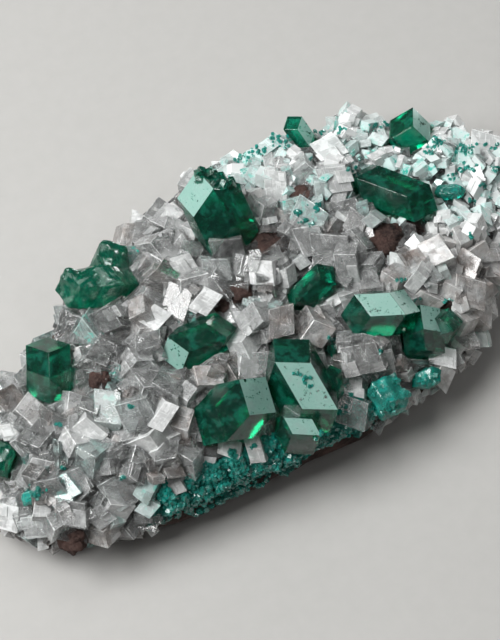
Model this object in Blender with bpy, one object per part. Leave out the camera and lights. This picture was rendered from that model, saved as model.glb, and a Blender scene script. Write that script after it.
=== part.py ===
"""Dioptase on calcite: emerald green prisms grown in a crust of calcite rhombs on brown rock.

The specimen lies on its back on a flat trimmed base, crystals up. Its long axis is X. The origin is
the middle of its footprint, on the surface it rests on. Lengths are written in millimetres, and one
function turns the finished meshes to metres.
"""
import math
import random
from collections import namedtuple

import bmesh
import bpy
import numpy as np
from mathutils import Matrix, Vector

MILLIMETRE = 0.001

# Where the specimen is seen from, so that a crystal can be placed where the photograph shows it.
SEEN_FROM_AZIMUTH = math.radians(-31.0)
SEEN_FROM_ELEVATION = math.radians(60.0)
MM_PER_PIXEL = 0.12
PHOTO_CENTRE = (250, 320)
CENTRE_HEIGHT = 9.0

# The plate: rock below, crust above, thickest in the middle and undercut all round.
CRUST_RIM_HEIGHT = 6.0
CRUST_CROWN = 8.0
CRUST_THICKNESS_RIM = 1.3
CRUST_THICKNESS_MIDDLE = 3.2
ROCK_EDGE_BOTTOM = 3.5
ROCK_BASE_REACH = 0.66
CRUST_REACH = 0.985
ROCK_CLEAR_REACH = 1.015
GAP = 0.3
WELD = 0.001
PLATE_SEGMENTS = 40
# The crust's underside and the rock's top share these rings, so that they stay the same gap apart.
UNDER_RINGS = (0, 0.34, 0.6, 0.8, 0.92, CRUST_REACH)

# The rim of the plate as pixels of the photograph, far side from left to right, then the near side back.
FAR_RIM = (
    (-26, 470), (-16, 420), (18, 372), (48, 330), (84, 276), (128, 242), (172, 205), (205, 172),
    (250, 148), (300, 122), (350, 114), (405, 112), (450, 126), (500, 132), (530, 150),
)
NEAR_RIM = (
    (538, 196), (520, 236), (496, 280), (486, 335), (462, 367), (408, 400), (372, 428), (320, 450),
    (280, 470), (240, 487), (165, 518), (100, 531), (62, 545), (20, 531), (-16, 512),
)
FAR_RIM_HEIGHT = 8.5
NEAR_RIM_HEIGHT = 4.6

# Dioptase: hexagonal prism closed by the rhombohedron {02-21}, whose faces lean this far from c.
RHOMBOHEDRON_LEAN = math.radians(50.7)

# seen: middle of the crystal in the photograph, in pixels. lean: direction of c in the picture,
# tilt of c towards the viewer, and turn about c, in degrees. across: between opposite prism faces.
# proud: height of the middle of the crystal over the crust.
Crystal = namedtuple("Crystal", "seen lean across length proud")
DIOPTASES = {
    "dioptase_far_left": (
        Crystal((217.7, 214.8), (115, 12, -47), 6.5, 12.0, 3.2),
        Crystal((233.0, 205.0), (115, 12, -47), 3.0, 7.5, 4.4),
    ),
    "dioptase_left_edge": (
        Crystal((97.0, 287.0), (184, 0, 0), 4.7, 10.2, 1.6),
        Crystal((110.0, 265.0), (105, 5, 30), 4.2, 6.5, 1.7),
    ),
    "dioptase_left_block": (Crystal((52.8, 369.0), (94, -28, 6), 5.2, 8.8, 1.7),),
    "dioptase_middle_left": (Crystal((199.6, 342.0), (-159, 3, -15), 4.6, 9.6, 1.2),),
    "dioptase_middle": (Crystal((310.5, 289.0), (45, 0, 0), 3.3, 7.4, 0.7),),
    "dioptase_upper_long": (Crystal((394.5, 192.0), (158.5, -18, 60), 4.9, 12.0, 1.4),),
    "dioptase_right_group": (
        Crystal((378.5, 313.5), (-177, -2, -6), 5.1, 9.5, 1.3),
        Crystal((421.0, 333.0), (97, 32, -60), 4.8, 8.0, 0.2),
        Crystal((437.6, 328.0), (15, 7, -38), 3.5, 6.0, 1.2),
    ),
    "dioptase_front_wide": (Crystal((235.0, 408.5), (48, 0, 25), 6.4, 10.8, 1.6),),
    "dioptase_front_tall": (
        Crystal((300.1, 385.0), (120, 3, 40), 6.3, 13.0, 1.9),
        Crystal((297.0, 424.0), (118, 3, 40), 5.0, 7.5, 1.9),
        Crystal((331.0, 384.0), (98, 10, 20), 2.2, 5.0, 1.3),
    ),
    "dioptase_front_rough": (Crystal((386.0, 396.0), (75, 20, 0), 4.6, 6.6, 1.4),),
    "dioptase_far_edge": (Crystal((414.3, 127.8), (70, 78, 135), 5.0, 7.0, 1.6),),
    "dioptase_far_small": (Crystal((302.0, 129.0), (125, 5, 0), 2.8, 5.6, 1.2),),
    "dioptase_left_end": (Crystal((4.0, 455.0), (120, 40, 0), 4.3, 6.0, 0.8),),
    "dioptase_small_right": (Crystal((453.0, 190.0), (5, 5, 20), 1.6, 4.0, 0.4),),
    "dioptase_small_gem": (Crystal((331.0, 349.0), (80, 30, 0), 1.3, 2.0, 0.5),),
    "dioptase_small_front": (Crystal((426.0, 378.0), (30, 10, 10), 2.2, 4.2, 0.9),),
    "dioptase_small_left": (Crystal((36.0, 492.0), (60, 40, 0), 1.7, 2.6, 0.5),),
}

# Calcite: rhombohedra whose edges lean this far from their own axis, as in cleaved calcite.
CALCITE_EDGE_LEAN = math.radians(63.7)
# seen: pixels; lean: as for the dioptase; edge: length of the rhomb's edge.
Rhomb = namedtuple("Rhomb", "seen lean edge")
LARGE_RHOMBS = (
    Rhomb((281, 181), (60, 40, 10), 3.4), Rhomb((262, 271), (130, 50, 40), 3.9),
    Rhomb((158, 316), (40, 55, 25), 4.2), Rhomb((198, 299), (115, 45, 70), 4.3),
    Rhomb((180, 275), (70, 35, 20), 3.6), Rhomb((83, 430), (140, 60, 35), 4.4),
    Rhomb((160, 412), (20, 45, 60), 4.6), Rhomb((120, 318), (85, 50, 0), 3.6),
    Rhomb((146, 356), (30, 60, 50), 3.4), Rhomb((345, 262), (110, 65, 15), 4.4),
    Rhomb((368, 225), (50, 55, 30), 3.9), Rhomb((425, 268), (75, 40, 55), 4.3),
    Rhomb((462, 300), (15, 50, 5), 4.1), Rhomb((255, 322), (120, 60, 20), 4.2),
    Rhomb((300, 232), (150, 50, 45), 4.0), Rhomb((120, 452), (60, 60, 10), 4.0),
    Rhomb((172, 462), (100, 45, 30), 4.1), Rhomb((60, 482), (35, 55, 15), 3.9),
    Rhomb((355, 345), (140, 55, 5), 4.0), Rhomb((325, 190), (80, 45, 40), 4.2),
    Rhomb((462, 235), (20, 60, 25), 4.4), Rhomb((105, 370), (95, 50, 60), 4.3),
    Rhomb((230, 250), (45, 45, 15), 3.9), Rhomb((440, 160), (65, 55, 20), 3.7),
)
SCATTERED_RHOMBS = 96
SCATTERED_EDGE = (3.1, 4.5)
SCATTER_SEED = 4
# The exact solver loses faces where this many rhombs meet.
MANY_BODIES = "MANIFOLD"

# The teal band of small dioptase along the near rim, between two directions from the middle.
DRUSE_FROM = math.radians(214.0)
DRUSE_TO = math.radians(290.0)
DRUSE_INNER_REACH = 0.85
DRUSE_CRYSTALS = 26
DRUSE_ACROSS = (1.4, 2.3)
DRUSE_SEED = 1

EMERALD = (0.012, 0.155, 0.094, 1.0)
TEAL = (0.020, 0.210, 0.170, 1.0)
CALCITE_WHITE = (0.48, 0.49, 0.48, 1.0)
ROCK_BROWN = (0.085, 0.055, 0.048, 1.0)


def view_axes():
    """Right, up and towards the viewer, as world directions."""
    a, e = SEEN_FROM_AZIMUTH, SEEN_FROM_ELEVATION
    right = Vector((math.cos(a), math.sin(a), 0))
    up = Vector((-math.sin(a) * math.sin(e), math.cos(a) * math.sin(e), math.cos(e)))
    back = Vector((math.sin(a) * math.cos(e), -math.cos(a) * math.cos(e), math.sin(e)))
    return right, up, back


def seen_at(pixel, height):
    """The point at a height that the photograph shows at a pixel."""
    a, e = SEEN_FROM_AZIMUTH, SEEN_FROM_ELEVATION
    across = (pixel[0] - PHOTO_CENTRE[0]) * MM_PER_PIXEL
    rise = (PHOTO_CENTRE[1] - pixel[1]) * MM_PER_PIXEL
    away = (rise - (height - CENTRE_HEIGHT) * math.cos(e)) / math.sin(e)
    x = across * math.cos(a) - away * math.sin(a)
    y = across * math.sin(a) + away * math.cos(a)
    return Vector((x, y, height))


def rim_in_polar():
    """Directions and radii of the rim, sorted by direction."""
    points = [seen_at(pixel, FAR_RIM_HEIGHT) for pixel in FAR_RIM]
    points += [seen_at(pixel, NEAR_RIM_HEIGHT) for pixel in NEAR_RIM]
    polar = sorted((math.atan2(p.y, p.x) % math.tau, p.xy.length) for p in points)
    return np.array(polar).T


RIM_DIRECTION, RIM_RADIUS = rim_in_polar()


def rim_radius(direction):
    return float(np.interp(direction, RIM_DIRECTION, RIM_RADIUS, period=math.tau))


def reach_of(x, y):
    """How far out a place is: 0 in the middle of the plate, 1 on its rim."""
    return math.hypot(x, y) / rim_radius(math.atan2(y, x) % math.tau)


def lumps(x, y):
    """Slow waves of the crust."""
    wave = math.sin(0.21 * x + 0.9) * math.cos(0.26 * y - 0.4)
    ripple = math.sin(0.55 * x - 0.35 * y) * math.sin(0.47 * y + 0.2 * x + 1.0)
    return 0.7 * wave + 0.35 * ripple


def crust_top(x, y):
    reach = min(reach_of(x, y), 1.0)
    dome = (1.0 - reach ** 2.6) ** 0.62
    return CRUST_RIM_HEIGHT + CRUST_CROWN * dome + lumps(x, y) * (1.0 - reach ** 3)


def crust_bottom(x, y):
    reach = min(reach_of(x, y), 1.0)
    inward = 1.0 - reach ** 2
    thickness = CRUST_THICKNESS_RIM + (CRUST_THICKNESS_MIDDLE - CRUST_THICKNESS_RIM) * inward
    return crust_top(x, y) - thickness


def rock_top(x, y):
    return crust_bottom(x, y) - GAP


def clearance_top(x, y):
    return crust_bottom(x, y) - GAP / 2


def below_all(x, y):
    return -2.0


def on_the_floor(x, y):
    return 0.0


def rock_bottom(x, y):
    """Flat under the middle, rising to a thin edge."""
    outward = max(0.0, (min(reach_of(x, y), 1.0) - ROCK_BASE_REACH) / (1.0 - ROCK_BASE_REACH))
    knobs = 0.5 * math.sin(0.9 * x + 0.4 * y) * math.cos(0.8 * y - 0.3 * x)
    return max(0.0, ROCK_EDGE_BOTTOM * outward ** 1.2 + knobs * outward * (1.0 - outward))


def object_from(bm, name, material=None):
    mesh = bpy.data.meshes.new(name)
    bm.to_mesh(mesh)
    bm.free()
    obj = bpy.data.objects.new(name, mesh)
    bpy.context.scene.collection.objects.link(obj)
    if material:
        mesh.materials.append(material)
    return obj


def plate(name, rings):
    """A ball whose rings are pressed into a plate: each ring has a reach and a height function."""
    bm = bmesh.new()
    bmesh.ops.create_uvsphere(bm, u_segments=PLATE_SEGMENTS, v_segments=len(rings) - 1, radius=1.0)
    for vertex in bm.verts:
        latitude = math.acos(max(-1.0, min(1.0, vertex.co.z)))
        reach, height = rings[round(latitude / math.pi * (len(rings) - 1))]
        direction = math.atan2(vertex.co.y, vertex.co.x) % math.tau
        radius = reach * rim_radius(direction)
        x, y = radius * math.cos(direction), radius * math.sin(direction)
        vertex.co = (x, y, height(x, y))
    return object_from(bm, name)


def boolean(obj, other, operation, solver="EXACT"):
    """Joins, cuts or keeps what is common, applies the result and removes the other object."""
    step = obj.modifiers.new(operation.lower(), "BOOLEAN")
    step.operation = operation
    step.solver = solver
    step.object = other
    evaluated = obj.evaluated_get(bpy.context.evaluated_depsgraph_get())
    mesh = bpy.data.meshes.new_from_object(evaluated)
    obj.modifiers.clear()
    old = obj.data
    obj.data = mesh
    bpy.data.meshes.remove(old)
    bpy.data.objects.remove(other)


def join_bodies(shapes, name):
    """One object from several bmesh shapes that stay apart from each other."""
    bm = bmesh.new()
    for shape in shapes:
        mesh = bpy.data.meshes.new("piece")
        shape.to_mesh(mesh)
        shape.free()
        bm.from_mesh(mesh)
        bpy.data.meshes.remove(mesh)
    return object_from(bm, name)


def apart(placed):
    """Sorts (centre, radius, shape) into sets in which no two can touch."""
    sets = []
    for centre, radius, shape in placed:
        for members in sets:
            if all((centre - c).length > radius + r for c, r, _ in members):
                members.append((centre, radius, shape))
                break
        else:
            sets.append([(centre, radius, shape)])
    return [[shape for _, _, shape in members] for members in sets]


def leaning_axes(angle, toward, spin):
    """World matrix whose columns are a crystal's own x, y and c."""
    right, up, back = view_axes()
    a, t = math.radians(angle), math.radians(toward)
    c = (right * math.cos(a) + up * math.sin(a)) * math.cos(t) + back * math.sin(t)
    x = (back - c * back.dot(c)).normalized()
    x.rotate(Matrix.Rotation(math.radians(spin), 3, c))
    y = c.cross(x)
    return Matrix((x, y, c)).transposed()


def on_crust(pixel, proud):
    """The point over the crust that the photograph shows at a pixel."""
    height = CENTRE_HEIGHT
    for _ in range(12):
        point = seen_at(pixel, height)
        height = 0.5 * (height + crust_top(point.x, point.y) + proud)
    return seen_at(pixel, height)


def dioptase(crystal, grow=0.0):
    """A hexagonal prism with both ends cut by the three faces of the rhombohedron."""
    centre = on_crust(crystal.seen, crystal.proud)
    half = crystal.across / 2 + grow
    bm = bmesh.new()
    edges_along_x = Matrix.Rotation(math.radians(30), 4, "Z")
    bmesh.ops.create_cone(
        bm, cap_ends=True, segments=6, radius1=half / math.cos(math.radians(30)),
        radius2=half / math.cos(math.radians(30)), depth=crystal.length * 2, matrix=edges_along_x,
    )
    tip = math.cos(RHOMBOHEDRON_LEAN) * crystal.length / 2 + grow
    for end in (1, -1):
        for third in range(3):
            azimuth = math.radians(120 * third + (0 if end == 1 else 60))
            flat = math.sin(RHOMBOHEDRON_LEAN)
            normal = Vector((flat * math.cos(azimuth), flat * math.sin(azimuth),
                             end * math.cos(RHOMBOHEDRON_LEAN)))
            geometry = bm.verts[:] + bm.edges[:] + bm.faces[:]
            cut = bmesh.ops.bisect_plane(bm, geom=geometry, plane_co=normal * tip, plane_no=normal,
                                         clear_outer=True, dist=1e-5)
            rim = [item for item in cut["geom_cut"] if isinstance(item, bmesh.types.BMEdge)]
            bmesh.ops.edgeloop_fill(bm, edges=rim)
    bmesh.ops.recalc_face_normals(bm, faces=bm.faces[:])
    bmesh.ops.transform(bm, matrix=leaning_axes(*crystal.lean).to_4x4(), verts=bm.verts[:])
    bmesh.ops.translate(bm, vec=centre, verts=bm.verts[:])
    return centre, crystal.length / 2 + half, bm


def calcite(centre, axes, edge):
    """A cube sheared along its own diagonal into a rhomb."""
    lean = CALCITE_EDGE_LEAN
    columns = []
    for third in range(3):
        turn = math.radians(120 * third)
        columns.append(Vector((math.sin(lean) * math.cos(turn), math.sin(lean) * math.sin(turn),
                               math.cos(lean))))
    shear = Matrix(columns).transposed()
    bm = bmesh.new()
    bmesh.ops.create_cube(bm, size=edge, matrix=(axes @ shear).to_4x4())
    bmesh.ops.recalc_face_normals(bm, faces=bm.faces[:])
    bmesh.ops.translate(bm, vec=centre, verts=bm.verts[:])
    return centre, edge * 1.15, bm


def outward_axes(place, rng, spread):
    """Axes whose c leans at random from straight out of the crust."""
    x, y = place.x, place.y
    step = 0.5
    slope_x = (crust_top(x + step, y) - crust_top(x - step, y)) / (2 * step)
    slope_y = (crust_top(x, y + step) - crust_top(x, y - step)) / (2 * step)
    c = Vector((-slope_x, -slope_y, 1.0)).normalized()
    c += Vector((rng.uniform(-1, 1), rng.uniform(-1, 1), rng.uniform(-0.3, 0.3))) * spread
    c.normalize()
    side = c.orthogonal().normalized()
    side.rotate(Matrix.Rotation(rng.uniform(0, math.tau), 3, c))
    return Matrix((side, c.cross(side), c)).transposed()


def crystal_footprints():
    """Middle and radius of each dioptase on the plan, to keep other growth off it."""
    prints = []
    for group in DIOPTASES.values():
        for crystal in group:
            centre = on_crust(crystal.seen, crystal.proud)
            c = leaning_axes(*crystal.lean).col[2]
            reach = 0.36 * crystal.length
            for step in (-1, 0, 1):
                spot = centre + c * reach * step
                prints.append((spot.xy, crystal.across * 0.62))
    return prints


def calcite_crust(material):
    """The domed crust with its rhombs, less the pockets that the dioptase fills."""
    rings = [(reach * CRUST_REACH, crust_top) for reach in (0, .2, .4, .58, .74, .87, 1.0)]
    rings += [(reach, crust_bottom) for reach in reversed(UNDER_RINGS)]
    crust = plate("calcite_crust", rings)

    rng = random.Random(SCATTER_SEED)
    taken = crystal_footprints()
    placed = []
    for rhomb in LARGE_RHOMBS:
        centre = on_crust(rhomb.seen, 0.1 * rhomb.edge)
        taken.append((centre.xy, rhomb.edge * 0.45))
        placed.append(calcite(centre, leaning_axes(*rhomb.lean), rhomb.edge))
    tries = 0
    count = 0
    while count < SCATTERED_RHOMBS and tries < 6000:
        tries += 1
        direction = rng.uniform(0, math.tau)
        reach = 0.97 * math.sqrt(rng.random())
        edge = rng.uniform(*SCATTERED_EDGE)
        radius = reach * rim_radius(direction)
        spot = Vector((radius * math.cos(direction), radius * math.sin(direction)))
        if any((spot - other).length < 0.42 * edge + keep for other, keep in taken):
            continue
        taken.append((spot, edge * 0.42))
        centre = Vector((spot.x, spot.y, crust_top(*spot) - 0.12 * edge))
        placed.append(calcite(centre, outward_axes(centre, rng, 0.9), edge))
        count += 1
    for shapes in apart(placed):
        boolean(crust, join_bodies(shapes, "rhombs"), "UNION", MANY_BODIES)

    boolean(crust, druse_sector(0.0), "DIFFERENCE", MANY_BODIES)
    pockets = [dioptase(crystal, GAP) for group in DIOPTASES.values() for crystal in group]
    for shapes in apart(pockets):
        boolean(crust, join_bodies(shapes, "pockets"), "DIFFERENCE", MANY_BODIES)
    boolean(crust, clear_of_rock(), "DIFFERENCE", MANY_BODIES)
    keep_largest_body(crust)
    crust.data.materials.clear()
    crust.data.materials.append(material)
    return crust


def clear_of_rock():
    """The rock grown upwards by half the gap, for the ends of rhombs that reach into it."""
    rings = [(reach, clearance_top) for reach in UNDER_RINGS + (ROCK_CLEAR_REACH,)]
    rings += [(ROCK_CLEAR_REACH, below_all), (0.7, below_all), (0, below_all)]
    return plate("rock_clearance", rings)


def druse_sector(inset):
    """The space of the teal band: out from its inner reach, over the crust's underside."""
    steps = 26
    bm = bmesh.new()
    bmesh.ops.create_grid(bm, x_segments=steps, y_segments=1, size=0.5)
    turn = inset / 22.0
    for vertex in bm.verts:
        direction = DRUSE_FROM + turn + (vertex.co.x + 0.5) * (DRUSE_TO - DRUSE_FROM - 2 * turn)
        rim = rim_radius(direction)
        radius = rim * DRUSE_INNER_REACH + inset if vertex.co.y < 0 else rim * 1.25
        x, y = radius * math.cos(direction), radius * math.sin(direction)
        vertex.co = (x, y, 2.0)
    lifted = bmesh.ops.extrude_face_region(bm, geom=bm.faces[:])
    for item in lifted["geom"]:
        if isinstance(item, bmesh.types.BMVert):
            item.co.z = 24.0
    bmesh.ops.recalc_face_normals(bm, faces=bm.faces[:])
    return object_from(bm, "druse_sector")


def dioptase_druse(material):
    """The part of the crust along the near rim that is small dioptase instead of calcite."""
    rings = [(reach * CRUST_REACH, crust_top) for reach in (0, .5, .8, .9, 1.0)]
    rings += [(reach, crust_bottom) for reach in reversed(UNDER_RINGS)]
    druse = plate("dioptase_druse", rings)
    rng = random.Random(DRUSE_SEED)
    placed = []
    for index in range(DRUSE_CRYSTALS):
        share = (index + rng.uniform(0.2, 0.8)) / DRUSE_CRYSTALS
        direction = DRUSE_FROM + share * (DRUSE_TO - DRUSE_FROM)
        radius = rim_radius(direction) * (0.96 if index % 2 else 0.9)
        x, y = radius * math.cos(direction), radius * math.sin(direction)
        across = rng.uniform(*DRUSE_ACROSS)
        lean = (rng.uniform(20, 160), rng.uniform(-10, 60), rng.uniform(0, 60))
        small = Crystal((0, 0), lean, across, across * rng.uniform(1.6, 2.4), 0.0)
        centre = Vector((x, y, crust_top(x, y) - 0.1 * across))
        old_centre, reach, bm = dioptase(small)
        bmesh.ops.translate(bm, vec=centre - old_centre, verts=bm.verts[:])
        placed.append((centre, reach, bm))
    for shapes in apart(placed):
        boolean(druse, join_bodies(shapes, "small_dioptase"), "UNION", MANY_BODIES)
    boolean(druse, druse_sector(GAP), "INTERSECT", MANY_BODIES)
    pockets = [dioptase(crystal, GAP) for group in DIOPTASES.values() for crystal in group]
    for shapes in apart(pockets):
        boolean(druse, join_bodies(shapes, "pockets"), "DIFFERENCE", MANY_BODIES)
    boolean(druse, clear_of_rock(), "DIFFERENCE", MANY_BODIES)
    keep_largest_body(druse)
    druse.data.materials.clear()
    druse.data.materials.append(material)
    return druse


def matrix_rock(material):
    """The rock under the crust: flat base, undercut sides, thin edge."""
    rings = [(reach, rock_top) for reach in UNDER_RINGS + (1.0,)]
    rings += [(reach, rock_bottom) for reach in (1.0, .93, .86, .76)]
    rings += [(reach, on_the_floor) for reach in (ROCK_BASE_REACH, .3, 0)]
    rock = plate("matrix_rock", rings)
    pockets = [dioptase(crystal, GAP) for group in DIOPTASES.values() for crystal in group]
    for shapes in apart(pockets):
        boolean(rock, join_bodies(shapes, "pockets"), "DIFFERENCE", MANY_BODIES)
    keep_largest_body(rock)
    rock.data.materials.clear()
    rock.data.materials.append(material)
    return rock


def keep_largest_body(obj):
    """Drops chips that a cut leaves loose, and welds points that coincide."""
    bm = bmesh.new()
    bm.from_mesh(obj.data)
    bmesh.ops.remove_doubles(bm, verts=bm.verts[:], dist=WELD)
    bmesh.ops.triangulate(bm, faces=bm.faces[:])
    left = set(bm.verts)
    bodies = []
    while left:
        stack = [left.pop()]
        body = set(stack)
        while stack:
            for edge in stack.pop().link_edges:
                for vertex in edge.verts:
                    if vertex in left:
                        left.remove(vertex)
                        body.add(vertex)
                        stack.append(vertex)
        bodies.append(body)
    bodies.sort(key=len)
    loose = [vertex for body in bodies[:-1] for vertex in body]
    bmesh.ops.delete(bm, geom=loose, context="VERTS")
    bm.to_mesh(obj.data)
    bm.free()


def material(name, colour, roughness):
    made = bpy.data.materials.new(name)
    made.use_nodes = True
    shader = made.node_tree.nodes["Principled BSDF"]
    shader.inputs["Base Color"].default_value = colour
    shader.inputs["Roughness"].default_value = roughness
    shader.inputs["Metallic"].default_value = 0.0
    made.diffuse_color = colour
    return made


def dioptase_group(name, group, green):
    """Crystals that grew through each other, joined in one solid."""
    shapes = [dioptase(crystal)[2] for crystal in group]
    whole = object_from(shapes[0], name, green)
    for shape in shapes[1:]:
        boolean(whole, object_from(shape, "grown_with"), "UNION")
    return whole


def stand_on_origin(parts):
    """Turns millimetres to metres and puts the middle of the footprint on the origin."""
    corners = np.array([vertex.co for part in parts for vertex in part.data.vertices])
    low, high = corners.min(axis=0), corners.max(axis=0)
    middle = Vector(((low[0] + high[0]) / 2, (low[1] + high[1]) / 2, low[2]))
    place = Matrix.Scale(MILLIMETRE, 4) @ Matrix.Translation(-middle)
    for part in parts:
        part.data.transform(place)
        part.data.update()


def build():
    for obj in list(bpy.data.objects):
        bpy.data.objects.remove(obj)
    green = material("dioptase_green", EMERALD, 0.08)
    parts = [
        matrix_rock(material("matrix_brown", ROCK_BROWN, 0.85)),
        calcite_crust(material("calcite_white", CALCITE_WHITE, 0.30)),
        dioptase_druse(material("dioptase_teal", TEAL, 0.35)),
    ]
    parts += [dioptase_group(name, group, green) for name, group in DIOPTASES.items()]
    stand_on_origin(parts)
    specimen = bpy.data.collections.new("dioptase_on_calcite")
    bpy.context.scene.collection.children.link(specimen)
    for part in parts:
        bpy.context.scene.collection.objects.unlink(part)
        specimen.objects.link(part)


build()
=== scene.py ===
"""The looks of a dioptase specimen: emerald prisms in a crust of calcite rhombs on brown rock.

Shapes are worked out in millimetres, and mesh_piece turns them to metres.
"""

import math
from collections import namedtuple
from itertools import product

import bmesh
import bpy
import numpy as np
from mathutils import Matrix, Vector
from mathutils.bvhtree import BVHTree


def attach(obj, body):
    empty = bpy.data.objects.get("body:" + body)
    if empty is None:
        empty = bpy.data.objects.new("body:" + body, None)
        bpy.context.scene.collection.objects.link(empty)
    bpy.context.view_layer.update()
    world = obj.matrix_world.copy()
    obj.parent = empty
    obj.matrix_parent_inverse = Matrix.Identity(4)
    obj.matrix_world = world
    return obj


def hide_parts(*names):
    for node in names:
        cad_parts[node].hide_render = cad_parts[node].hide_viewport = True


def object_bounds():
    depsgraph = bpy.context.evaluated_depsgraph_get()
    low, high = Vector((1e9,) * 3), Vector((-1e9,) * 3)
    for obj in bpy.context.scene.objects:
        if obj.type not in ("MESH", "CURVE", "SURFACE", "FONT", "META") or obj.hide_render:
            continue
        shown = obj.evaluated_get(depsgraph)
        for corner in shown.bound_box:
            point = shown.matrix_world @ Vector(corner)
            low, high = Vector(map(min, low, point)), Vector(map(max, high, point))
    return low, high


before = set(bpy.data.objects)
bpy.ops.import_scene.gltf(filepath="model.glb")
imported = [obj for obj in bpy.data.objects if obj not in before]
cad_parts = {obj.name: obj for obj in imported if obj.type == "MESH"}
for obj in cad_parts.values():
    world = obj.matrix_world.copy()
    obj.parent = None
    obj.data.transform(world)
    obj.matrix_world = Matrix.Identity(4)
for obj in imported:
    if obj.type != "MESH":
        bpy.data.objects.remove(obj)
cad_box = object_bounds()

MM = 0.001

# The photograph's view: where it is seen from, its frame and its scale.
SEEN_FROM_AZIMUTH = math.radians(-31.0)
SEEN_FROM_ELEVATION = math.radians(60.0)
PHOTO_SIZE = (500, 640)
MM_PER_PIXEL = 0.12
LENS = 180.0
SENSOR = 36.0
# The point of the specimen at the middle of the photograph.
AIM = Vector((-0.65, -1.37, 9.0))

# How far calcite's edges lean from the rhomb's own axis, and how far the faces that close a
# dioptase prism lean from square across it.
CALCITE_EDGE_LEAN = math.radians(63.7)
RHOMBOHEDRON_LEAN = math.radians(50.7)
# How far the solid crust's edges are worn, in millimetres.
WORN_EDGE = 0.10
# Loose triangles of a CAD node share the corners that are this close, in millimetres.
MERGED_WITHIN = 0.001


def view_axes():
    """Right, up and towards the viewer, as world directions."""
    a, e = SEEN_FROM_AZIMUTH, SEEN_FROM_ELEVATION
    right = Vector((math.cos(a), math.sin(a), 0))
    up = Vector((-math.sin(a) * math.sin(e), math.cos(a) * math.sin(e), math.cos(e)))
    back = Vector((math.sin(a) * math.cos(e), -math.cos(a) * math.cos(e), math.sin(e)))
    return right, up, back


RIGHT, UP, BACK = view_axes()
VIEW = np.array([RIGHT, UP, BACK])
EYE = AIM + BACK * (PHOTO_SIZE[1] * MM_PER_PIXEL * LENS / SENSOR)


def camera():
    """A long lens where the photograph was taken from."""
    data = bpy.data.cameras.new("macro_camera")
    data.lens = LENS
    data.sensor_width = SENSOR
    data.clip_start = 0.01
    data.clip_end = 20.0
    made = bpy.data.objects.new("macro_camera", data)
    bpy.context.scene.collection.objects.link(made)
    turn = Matrix((RIGHT, UP, BACK)).transposed().to_4x4()
    made.matrix_world = Matrix.Translation(EYE * MM) @ turn
    bpy.context.scene.camera = made


# Light

# A softbox: name, direction from the specimen as (right, up, towards the viewer), width and height in
# millimetres, and brightness. All but the fill stand about where the photograph's pale faces mirror.
Softbox = namedtuple("Softbox", "name toward width height brightness")
SOFTBOXES = (
    Softbox("softbox_left", (-0.95, 0.30, -0.02), 230, 260, 1.6),
    Softbox("softbox_top", (-0.13, 0.76, 0.64), 260, 200, 1.9),
    Softbox("softbox_near_camera", (0.33, 0.12, 0.94), 110, 110, 2.4),
    Softbox("softbox_fill", (-0.58, 0.28, 0.765), 260, 260, 9.3),
    Softbox("softbox_right", (0.56, 0.72, -0.40), 150, 150, 13.0),
)
# How far they stand from the specimen, in millimetres.
SOFTBOX_DISTANCE = 420.0
# The watts of a softbox of one square metre and brightness 1, and how bright the room round them is.
SOFTBOX_WATTS = 4.0
ROOM_BRIGHTNESS = 0.05


def softbox(box):
    """A rectangle of light at its distance along its direction, turned to the specimen."""
    direction = Vector(box.toward) @ Matrix((RIGHT, UP, BACK))
    data = bpy.data.lights.new(box.name, "AREA")
    data.shape = "RECTANGLE"
    data.size = box.width * MM
    data.size_y = box.height * MM
    data.energy = SOFTBOX_WATTS * data.size * data.size_y * box.brightness
    made = bpy.data.objects.new(box.name, data)
    bpy.context.scene.collection.objects.link(made)
    made.location = (AIM + direction.normalized() * SOFTBOX_DISTANCE) * MM
    made.rotation_mode = "QUATERNION"
    made.rotation_quaternion = direction.to_track_quat("Z", "Y")


def surroundings():
    """A dim, even room, and a view that shows colours as they are."""
    world = bpy.data.worlds.new("soft_room")
    world.use_nodes = True
    world.node_tree.nodes["Background"].inputs["Color"].default_value = (1.0, 1.0, 1.0, 1.0)
    world.node_tree.nodes["Background"].inputs["Strength"].default_value = ROOM_BRIGHTNESS
    bpy.context.scene.world = world
    bpy.context.scene.view_settings.view_transform = "Standard"


# Materials

def linear(hex_colour):
    """sRGB hex to the linear colour that a shader takes."""
    parts = [int(hex_colour[i:i + 2], 16) / 255 for i in (1, 3, 5)]
    return tuple(c / 12.92 if c <= 0.04045 else ((c + 0.055) / 1.055) ** 2.4 for c in parts) + (1.0,)


def add(tree, kind, sockets=(), out=0, **settings):
    """Adds a shader node and returns one of its outputs.

    Its sockets get values or links, by name or number, or in their order, and settings are its
    properties. Map Range takes a value, its low and high, and the low and high that they become. Mix
    takes its share at 0, and vectors at 4 and 5 or colours at 6 and 7.
    """
    made = tree.nodes.new("ShaderNode" + kind)
    for name, value in settings.items():
        setattr(made, name, value)
    for name, value in sockets.items() if isinstance(sockets, dict) else enumerate(sockets):
        if isinstance(value, bpy.types.NodeSocket):
            tree.links.new(value, made.inputs[name])
        else:
            made.inputs[name].default_value = value
    return made.outputs[out] if made.outputs else None


def new_material(name, patterns):
    """An empty material, its node tree, and its patterns, drawn in the piece's own coordinates.

    A pattern has the size of its features in millimetres, its layers of detail and its roughness.
    """
    made = bpy.data.materials.new(name)
    made.use_nodes = True
    made.node_tree.nodes.clear()
    place = add(made.node_tree, "TexCoord", out="Object")
    drawn = {}
    for what, (size, detail, roughness) in patterns.items():
        drawn[what] = add(made.node_tree, "TexNoise", {"Vector": place, "Scale": 1.0 / (size * MM),
                                                       "Detail": detail, "Roughness": roughness})
    return made, made.node_tree, drawn


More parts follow.
